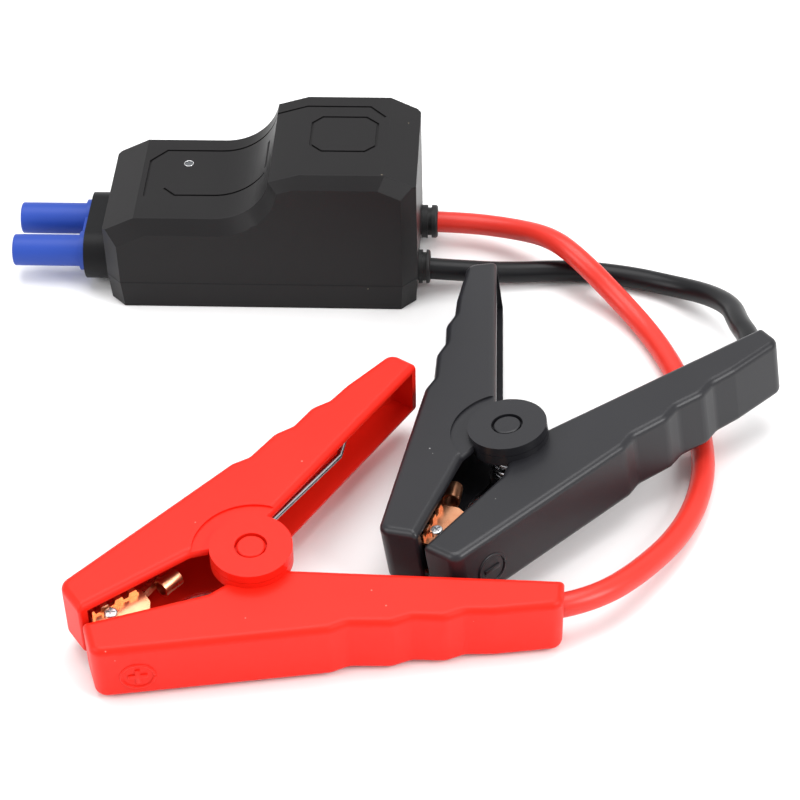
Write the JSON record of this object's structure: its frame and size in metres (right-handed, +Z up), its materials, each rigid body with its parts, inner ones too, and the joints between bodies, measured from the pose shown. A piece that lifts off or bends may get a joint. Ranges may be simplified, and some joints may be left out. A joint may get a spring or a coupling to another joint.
{
  "type": "jumper clamp lead",
  "caption": "Control box with a two-pole battery plug and two flexible leads, each ending in a sprung, copper-jawed battery clamp, for starting a car from a power pack.",
  "frame": {"origin": "centre of the control box's flat base, on the surface it lies on", "axes": "+X along the box from the plug towards the leads, +Y across it, +Z up"},
  "size_m": [0.2278, 0.2032, 0.0477],
  "materials": {
    "housing_black": "fine satin moulded black plastic",
    "collar_black": "satin black plastic",
    "plug_blue": "smooth moulded blue plastic",
    "contact_metal": "plated brass sockets",
    "grommet_black": "soft black rubber",
    "lead_red": "smooth red silicone sheath",
    "lead_black": "smooth black silicone sheath",
    "lever_red": "satin moulded red plastic",
    "lever_black": "satin moulded black plastic",
    "spring_steel": "drawn spring wire",
    "screw_steel": "plated screws",
    "jaw_copper": "bright copper-plated pressing and bare copper",
    "board_green": "solder-masked board",
    "relay_black": "moulded case",
    "led_white": "light chip",
    "light_pipe_clear": "clear moulded rod"
  },
  "bodies": {
    "root": {"upper_housing": "housing_black", "base_cover": "housing_black", "housing_screws": "screw_steel", "circuit_board": "board_green", "relay": "relay_black", "status_led": "led_white", "light_pipe": "light_pipe_clear", "plug_shell": "plug_blue", "plug_collar": "collar_black", "plug_contacts": "contact_metal", "lead_terminals": "jaw_copper", "red_grommet": "grommet_black", "black_grommet": "grommet_black", "red_lead": "lead_red", "black_lead": "lead_black", "black_cable_lever": "lever_black", "black_pivot_pin": "lever_black", "black_spring": "spring_steel", "black_cable_jaw": "jaw_copper", "black_cable_jaw_screw": "screw_steel", "black_conductor": "jaw_copper"},
    "red_clamp": {"red_cable_lever": "lever_red", "red_pivot_pin": "lever_red", "red_spring": "spring_steel", "red_cable_jaw": "jaw_copper", "red_cable_jaw_screw": "screw_steel", "red_conductor": "jaw_copper"},
    "red_free": {"red_free_lever": "lever_red", "red_free_jaw": "jaw_copper", "red_free_jaw_screw": "screw_steel"},
    "black_free": {"black_free_lever": "lever_black", "black_free_jaw": "jaw_copper", "black_free_jaw_screw": "screw_steel"}
  },
  "joints": [
    {"name": "red_clamp_draw_off", "type": "slide", "parent": "root", "child": "red_clamp", "axis": [-0.8788, -0.4772, 0], "range_m": [0, 0.0545], "deforming": ["red_lead"]},
    {"name": "red_squeeze", "type": "hinge", "parent": "red_clamp", "child": "red_free", "pos_m": [0.00927, -0.14676, 0.01248], "axis": [-0.0079, 0.0446, -0.999], "range_deg": [0, 36], "stiffness_Nm_per_rad": 3, "springref_deg": -40.11, "deforming": ["red_spring"]},
    {"name": "black_squeeze", "type": "hinge", "parent": "root", "child": "black_free", "pos_m": [0.07619, -0.103, 0.01498], "axis": [0.137, -0.075, -0.9877], "range_deg": [0, 36], "stiffness_Nm_per_rad": 3, "springref_deg": -40.11, "deforming": ["black_spring"]}
  ],
  "couplings": [
    {"joint": "red_clamp_draw_off", "follows": "red_squeeze", "m_per_rad": 0.085944}
  ]
}
